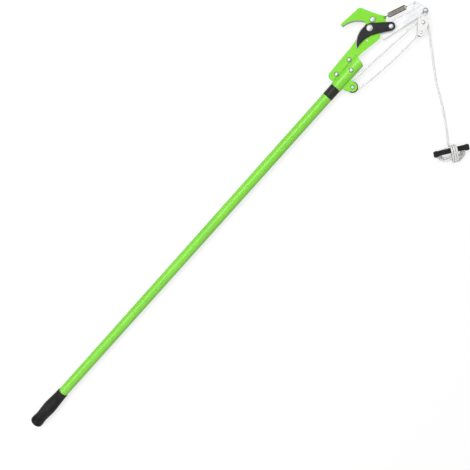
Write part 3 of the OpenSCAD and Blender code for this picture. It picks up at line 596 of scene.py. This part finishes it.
def ropePiece(name, path, start, radius=ropeSet["radius"]):
    line, lengths = smoothPath(path, ropeSet["step"])
    line[:, 2] = np.maximum(line[:, 2], floorZ + radius)  # lies on the floor at most
    turns = np.linspace(0, 1, ropeSet["sides"], endpoint=False)[None]
    p = ropeSet["yarns"] * turns + lengths[:, None] / ropeSet["lay"]
    q = ropeSet["yarns"] * turns - lengths[:, None] / ropeSet["lay"]
    height = np.clip(np.maximum(yarn(p, q, 1), yarn(q, p, -1)) / (1 + ropeSet["weave"]), 0, 1)
    swell = (radius - ropeSet["depth"] * (1 - height))[..., None]
    return gridMesh(name, sweep(line, start, swell, 2 * np.pi * turns), ropeMat, height), line


# tackle: the rope's lines from the head's own measures, flat on z = 0
tackleSet = {"ear": (28.0, -31.0), "leverEnd": (281.0, -38.0), "blockTurn": 211.5, "earLine": 12.5,
             "sheaveLine": 11.0, "sheaveOut": 30, "becketOut": 54, "bow": 5.0, "eyeR": 5.0, "knotLen": 10.0,
             "fallTurn": 233.5}
earAt = np.array(tackleSet["ear"])
earLine = tackleSet["earLine"]
sheaveLine = tackleSet["sheaveLine"]
eyeR = tackleSet["eyeR"]
knotLen = tackleSet["knotLen"]
fallDir = tackleSet["fallTurn"]
sheaveAt = tackleSet["leverEnd"] + tackleSet["sheaveOut"] * direction(tackleSet["blockTurn"])
becketAt = tackleSet["leverEnd"] + tackleSet["becketOut"] * direction(tackleSet["blockTurn"])
toSheave = sheaveAt - earAt
lineA = heading(toSheave) - math.degrees(math.asin((earLine - sheaveLine) / np.linalg.norm(toSheave)))
a0 = earAt + earLine * direction(lineA + 90)
a1 = sheaveAt + sheaveLine * direction(lineA + 90)


# half the turn of an arc that bows out by "bow" over a chord
def bowTurn(chordLen):
    return 2 * math.degrees(math.atan(2 * tackleSet["bow"] / chordLen))


bowDir = -12.0
for again in range(4):  # settles on the line that leaves the pulley squarely
    toBecket = becketAt - (earAt + earLine * direction(bowDir - 90))
    bowDir = heading(toBecket) - bowTurn(np.linalg.norm(toBecket))
b0 = earAt + earLine * direction(bowDir - 90)
knotAt = becketAt - (eyeR + knotLen + 0.5) * direction(heading(becketAt - b0))
bowLen = np.linalg.norm(knotAt - b0)
bowHalf = bowTurn(bowLen)
bowR = bowLen / 2 / math.sin(math.radians(bowHalf))
fallAt = sheaveAt + sheaveLine * direction(fallDir + 90)


def headPts(flat):
    flat = np.asarray(flat, float)
    return np.column_stack([flat[:, 0] + headX, flat[:, 1], np.zeros(len(flat))])


# centre + radius (cos a, sin a)
def arc(centre, radius, fromDeg, toDeg, count):
    return np.array([centre + radius * direction(deg) for deg in np.linspace(fromDeg, toDeg, count)])


strandA, _ = ropePiece("ropeStrandA", headPts(np.linspace(a0, a1, 5)), zAxis)
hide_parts("rope_strand_a")
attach(strandA, "strand_a")
(a0[0] + headX) * mm
a0[1] * mm
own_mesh(strandA)

chordB = heading(knotAt - b0)
bowMid = (b0 + knotAt) / 2 + bowR * math.cos(math.radians(bowHalf)) * direction(chordB + 90)
bowPts = headPts(arc(bowMid, bowR, chordB - 90 - bowHalf, chordB - 90 + bowHalf, 15))
strandB, _ = ropePiece("ropeStrandB", bowPts, zAxis)
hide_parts("rope_strand_b")
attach(strandB, "strand_b")
(b0[0] + headX) * mm
b0[1] * mm
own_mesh(strandB)

earPts = headPts(arc(earAt, earLine, lineA + 90, chordB - bowHalf + 270, 25))
earTurn, _ = ropePiece("ropeEarTurn", earPts, zAxis)
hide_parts("rope_ear_turn")
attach(earTurn, "pole")

sheavePts = headPts(arc(sheaveAt, sheaveLine, lineA + 90, fallDir - 270, 19))
sheaveTurn, _ = ropePiece("ropeSheaveTurn", sheavePts, zAxis)
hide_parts("rope_sheave_turn")
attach(sheaveTurn, "block")

# eye round the becket pin, its throat and a whipping of thin twine: r + rib |sin pi (n u - a)|, a in turns
twineSet = {"from": eyeR + 3.4, "length": knotLen - 5, "radius": 3.5, "twine": 0.6, "sides": 24, "rings": 8,
            "rib": 0.3, "tuck": 0.6, "tuckFrom": 0.97}
eyeWay = heading(b0 - becketAt)
eye, _ = ropePiece("ropeEye", headPts(arc(becketAt, eyeR, eyeWay, eyeWay + 360, 25)), zAxis)
throatAt = np.array([[0], [0.5], [1]]) * (knotLen + 0.6) + eyeR - 0.6
throat, _ = ropePiece("ropeThroat", headPts(becketAt + throatAt * direction(eyeWay)), zAxis)
twineTurns = twineSet["length"] / twineSet["twine"]
twineU = np.linspace(0, 1, int(twineTurns * twineSet["rings"]))[:, None]
twineA = np.linspace(0, 2 * np.pi, twineSet["sides"], endpoint=False)[None]
rib = np.abs(np.sin(np.pi * (twineTurns * twineU - twineA / (2 * np.pi))))
twineR = twineSet["radius"] - twineSet["rib"] * (1 - rib)
twineR = twineR - twineSet["tuck"] * (np.abs(2 * twineU - 1) > twineSet["tuckFrom"])
twineWay = np.array([*direction(eyeWay), 0.0])
twineSide = np.array([-twineWay[1], twineWay[0], 0.0])
twineStart = np.array([becketAt[0] + headX, becketAt[1], 0]) + twineSet["from"] * twineWay
whip = twineStart + (twineU * twineSet["length"])[..., None] * twineWay
whip = whip + (twineR * np.cos(twineA))[..., None] * twineSide + (twineR * np.sin(twineA))[..., None] * zAxis
whipping = gridMesh("ropeWhipping", whip, ropeMat, rib)
for piece in (eye, throat, whipping):
    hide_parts("becket_eye")
    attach(piece, "block")
print("taut rope made")

# return spring: hook, coil (x, r sin 2 pi t, z + r cos 2 pi t) eased in and out, and a straight end
springSet = {"from": (204.0, 25.5), "to": (278.0, -5.5), "od": 13.4, "wire": 1.8, "turns": 18, "pitch": 2.444,
             "ease": 3.4, "x0": 6.5, "lift": 1.6, "liftTurns": (1, 6), "bend": 2.4, "foot": -5,
             "perTurn": 24, "sides": 10}
springZ = springSet["od"] / 2 - 2.1 + 1
coils = springSet["turns"]
springDir = direction(heading(np.subtract(springSet["to"], springSet["from"])))
springSide = np.array([-springDir[1], springDir[0]])
coilT = np.linspace(0, coils + 2, springSet["perTurn"] * (coils + 2) + 1)
coilX = springSet["x0"] + springSet["ease"] * np.minimum(1, coilT)
coilX += springSet["pitch"] * np.clip(coilT - 1, 0, coils)
coilX += springSet["ease"] * np.maximum(0, coilT - 1 - coils)
coilR = (springSet["od"] - springSet["wire"]) / 2 * smooth(0, 1, coilT)
coilR = coilR * (1 - smooth(coils + 1, coils + 2, coilT))
coilZ = springZ + springSet["lift"] * (1 - smooth(*springSet["liftTurns"], coilT))  # clear of the plate
coilA = 2 * np.pi * coilT
coil = np.column_stack([coilX, coilR * np.sin(coilA), coilZ + coilR * np.cos(coilA)])
bendR = springSet["bend"]
bendA = np.radians(np.linspace(0, 90, 9))
hookZ = np.linspace(springSet["foot"], coilZ[0] - bendR - 0.2, 6)
hook = np.column_stack([0 * hookZ, 0 * hookZ, hookZ])
bendZ = coilZ[0] - bendR + bendR * np.sin(bendA)
hookBend = np.column_stack([bendR * (1 - np.cos(bendA)), 0 * bendA, bendZ])
springEnd = [[coilX[-1] + springSet["wire"] * 1.2, 0, springZ]]
wire = np.vstack([hook, hookBend, coil, springEnd])
springBase = np.array([springSet["from"][0] + headX, springSet["from"][1]])
wirePath = np.column_stack([springBase + wire[:, :1] * springDir + wire[:, 1:2] * springSide, wire[:, 2]])
wireA = np.linspace(0, 2 * np.pi, springSet["sides"], endpoint=False)[None]
wirePts = sweep(wirePath, (0, 1, 0), springSet["wire"] / 2, wireA)
spring = gridMesh("springCoil", wirePts, bronze)
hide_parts("return_spring")
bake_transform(spring)
print("spring made")

# handle frame: X along the bar, Y to the fall side, Z from the floor
handleSet = {"at": (75.0, -321.0), "turn": -34.5, "lay": 5.4, "step": 6.7, "layer": 6.2, "pitch": 5.7,
             "x0": -1.7, "hankB": 17.4, "hankC": 17.4, "hankY": -10.0, "waistIn": 3.0, "waistX": 5,
             "waistWide": 12, "liftFrom": 10.5, "liftTo": 26, "barHigh": 9, "foreY": 5, "topY": 3.5}
barX = np.array([*direction(handleSet["turn"]), 0])
barY = np.array([-barX[1], barX[0], 0])
handleAt = np.array([headX + handleSet["at"][0], handleSet["at"][1], floorZ])


def fromHandle(p):
    return handleAt + p[:, :1] * barX + p[:, 1:2] * barY + p[:, 2:] * zAxis


# wraps: a screw round six corners, each rounded with radius "lay"
ropeR = ropeSet["radius"]
lay = handleSet["lay"]
lowZ = ropeR + lay
topZ = lowZ + handleSet["layer"]
barTop = topZ + ropeR + 0.4 + handleSet["barHigh"]
hankSide = handleSet["hankY"] - handleSet["hankB"] + handleSet["waistIn"] - 0.1
foreY = handleSet["foreY"]
topY = handleSet["topY"]
core = np.array([[foreY, lowZ], [foreY, topZ], [topY, barTop],
                 [-topY, barTop], [hankSide, topZ], [hankSide, lowZ]])
coreWays = [heading(core[(i + 1) % 6] - core[i]) for i in range(6)]
loop = []
for i in range(6):
    cornerFrom = coreWays[i - 1] - 90
    cornerTurn = (coreWays[i] - 90 - cornerFrom + 720) % 360
    loop += list(arc(core[i], lay, cornerFrom, cornerFrom + cornerTurn, 4))
loop = np.array(loop)
loopLen = np.concatenate([[0], np.cumsum(np.linalg.norm(np.roll(loop, -1, 0) - loop, axis=1))])
wrapI = np.arange(4, 69)
wrapX = handleSet["x0"] + handleSet["pitch"] * (wrapI // 24 + loopLen[wrapI % 24] / loopLen[24])
wrapPts = np.column_stack([wrapX, loop[wrapI % 24]])

# hank: x = c f(cos a) + b cos a, y = hankY - (b - waist) sin a, spiralling in below and out above
hankT = np.arange(85) / 24
turnsIn = np.where(hankT < 1.5, hankT, np.where(hankT < 2, 1.5, 3.5 - hankT))
hankA = np.radians(45 - 360 * hankT)
hankB = handleSet["hankB"] - handleSet["step"] * turnsIn
cosA = np.cos(hankA)
hankX = handleSet["hankC"] * cosA * 1.118 / np.sqrt(cosA ** 2 + 0.25) + hankB * cosA
waistOff = hankX - handleSet["waistX"]
waist = handleSet["waistIn"] * np.exp(-(waistOff / handleSet["waistWide"]) ** 2)
lift = lay * (1 - smooth(handleSet["liftFrom"], handleSet["liftTo"], np.abs(waistOff)))
hankYs = handleSet["hankY"] - (hankB - waist) * np.sin(hankA)
hankZs = ropeR + lift + handleSet["layer"] * smooth(1.5, 2, hankT)
hankPts = np.column_stack([hankX, hankYs, hankZs])


# cubic Bezier (1-u)^3 p0 + 3 (1-u)^2 u p1 + 3 (1-u) u^2 p2 + u^3 p3
def bezier(p0, p1, p2, p3, count):
    u = np.linspace(0, 1, count + 1)[:, None]
    return (1 - u) ** 3 * p0 + 3 * (1 - u) ** 2 * u * p1 + 3 * (1 - u) * u * u * p2 + u ** 3 * p3


hankIn = hankPts[0] - 8 * unit(hankPts[1] - hankPts[0])
leadPts = bezier(wrapPts[-1], wrapPts[-1] + np.array([1.2, -1.4, -7]), hankIn, hankPts[0], 8)
windPts = fromHandle(np.vstack([wrapPts, leadPts[1:8], hankPts]))

# fall: off the sheave, down to the floor and up into the first wrap
restZ = ropeR + 0.02  # centre of the rope on the floor
fallZ = floorZ + restZ
fallWay = direction(fallDir)
route = np.array([[*fallAt, 0], [*(fallAt + 4 * fallWay), 0], [*(fallAt + 10 * fallWay), -1],
                  [247, -85, -4], [232, -105, -9], [211, -133, -14.2], [192, -157, fallZ], [172, -184, fallZ],
                  [153, -215, fallZ], [134, -243, fallZ], [115, -269, fallZ], [102, -286, fallZ]])
fallEnd = wrapPts[0] - np.array([0, 0, 0.8])
riseR = fallEnd[2] - restZ
riseFrom = np.array([fallEnd[0] + 1, fallEnd[1] + riseR, restZ])
riseOut = riseFrom - np.array([0.5, 0.55 * riseR, 0])
riseIn = fallEnd - np.array([0, 0, 0.55 * riseR])
risePts = fromHandle(bezier(riseFrom, riseOut, riseIn, fallEnd, 7))
fallPts = np.vstack([route + np.array([headX, 0, 0]), risePts])
fall, fallLine = ropePiece("ropeFall", fallPts, zAxis)
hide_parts("rope_fall")
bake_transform(fall)
wind, windLine = ropePiece("ropeHandleWinding", windPts, (1, 0, 0))
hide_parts("handle_wraps", "rope_hank")
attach(wind, "pole")

# stopper knot on the hank's end: a trefoil, (sin a + 2 sin 2a, cos a - 2 cos 2a, -sin 3a)
knotSet = {"size": 1.9, "rise": 2.0, "radius": 2.1, "squeeze": 0.8, "out": 3.4, "points": 61}
knotA = np.linspace(0, 2 * np.pi, knotSet["points"])
outward = unit(windLine[-1] - windLine[-3])
sideways = unit(np.cross(zAxis, outward))
upward = np.cross(outward, sideways) * knotSet["squeeze"]
trefoilX = np.sin(knotA) + 2 * np.sin(2 * knotA)
trefoilY = np.cos(knotA) - 2 * np.cos(2 * knotA)
knotPath = windLine[-1] + knotSet["out"] * outward
knotPath = knotPath + knotSet["size"] * (trefoilX[:, None] * sideways + trefoilY[:, None] * upward)
knotPath = knotPath - knotSet["rise"] * np.sin(3 * knotA)[:, None] * outward
knot, _ = ropePiece("ropeKnot", knotPath, zAxis, knotSet["radius"])
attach(knot, "pole")


def lengthOf(line):
    return float(np.linalg.norm(np.diff(line, axis=0), axis=1).sum()) * mm


print("rope made", round(lengthOf(fallLine) + lengthOf(windLine), 3), "m of fall and winding")

# floor, in metres: white with a shadow where it is seen, greyer in the light that it sends up
floorSet = {"seen": (0.33, 0.33, 0.33), "glow": 0.72, "bounce": (0.29, 0.29, 0.28),
            "patch": (0.32, 0.32, 0.31), "middle": (0.76, -0.13), "fade": (1.0, 2.4),
            "x": (-4, 5), "y": (-4, 4)}
floorMat = Paint("floorPale", floorSet["bounce"], 0.9, {"Specular IOR Level": 0.1})
floorMat.feed({"Base Color": floorMat.tones((3, 2), 0.3, 0.7, floorSet["bounce"], floorSet["patch"])})
floorMat.mat.diffuse_color = (0.9, 0.9, 0.9, 1)
floorFx = floorMat.x - floorSet["middle"][0]
floorFy = floorMat.y - floorSet["middle"][1]
farOut = (floorFx * floorFx + floorFy * floorFy).math("SQRT").ramp(*floorSet["fade"])  # plain white
matte = floorMat.node("ShaderNodeBsdfDiffuse", {}, {"Color": rgba(floorSet["seen"])})
glow = floorMat.node("ShaderNodeEmission", {}, {"Strength": floorSet["glow"]})
white = floorMat.node("ShaderNodeEmission", {}, {"Strength": 1.0})
near = floorMat.node("ShaderNodeAddShader", {}, {0: matte, 1: glow})
shown = floorMat.node("ShaderNodeMixShader", {}, {0: farOut, 1: near, 2: white})
bounce = Sock(floorMat, floorMat.bsdf.outputs[0])
choose = floorMat.node("ShaderNodeMixShader", {}, {0: floorMat.seen(), 1: bounce, 2: shown})
floorMat.wire(floorMat.tree.nodes["Material Output"], {"Surface": choose})
floorMesh = bpy.data.meshes.new("floor")
floorLeft, floorRight = floorSet["x"]
floorLow, floorHigh = floorSet["y"]
floorPts = [(floorLeft, floorLow), (floorRight, floorLow), (floorRight, floorHigh), (floorLeft, floorHigh)]
floorMesh.from_pydata([(*corner, floorZ * mm) for corner in floorPts], [], [(0, 1, 2, 3)])
floor = bpy.data.objects.new("floor", floorMesh)
scene.collection.objects.link(floor)
floor.data.materials.append(floorMat.mat)


def softBox(name, where, target, size, power):
    data = bpy.data.lights.new(name, "AREA")
    data.shape = "RECTANGLE"
    data.size, data.size_y = size
    data.energy = power
    lamp = bpy.data.objects.new(name, data)
    scene.collection.objects.link(lamp)
    lamp.location = where
    lamp.rotation_euler = (Vector(target) - Vector(where)).to_track_quat("-Z", "Y").to_euler()


# place, target and size in metres, power in watts
softBox("keyLight", (1.2, 1.3, 1.8), (0.8, 0, 0), (1.6, 1.2), 3)
softBox("fillLight", (-0.2, -1.4, 1.6), (0.8, 0, 0), (1.8, 1.4), 2.5)
softBox("stripLight", (0.8, 0.62, 1.45), (0.8, 0, 0), (3.8, 0.55), 20)  # draws the line along the pole

# world: bright overhead, darker towards the horizon, so that round sides fall off; white where it is seen
skySet = {"zenith": 0.82, "horizon": 0.1, "from": 0.3, "to": 0.9}
world = bpy.data.worlds.new("studio")
scene.world = world
world.use_nodes = True
sky = Tree(world.node_tree)
skyWay = sky.node("ShaderNodeTexCoord", {}, {}, "Generated")
skyHeight = sky.axes(skyWay)[2].ramp(skySet["from"], skySet["to"])
skyTone = skyHeight.mix((skySet["horizon"],) * 3, (skySet["zenith"],) * 3)
sky.wire(world.node_tree.nodes["Background"], {"Color": sky.seen().mix(skyTone, (1.0, 1.0, 1.0))})
scene.view_settings.view_transform = "Standard"
print("stage set")
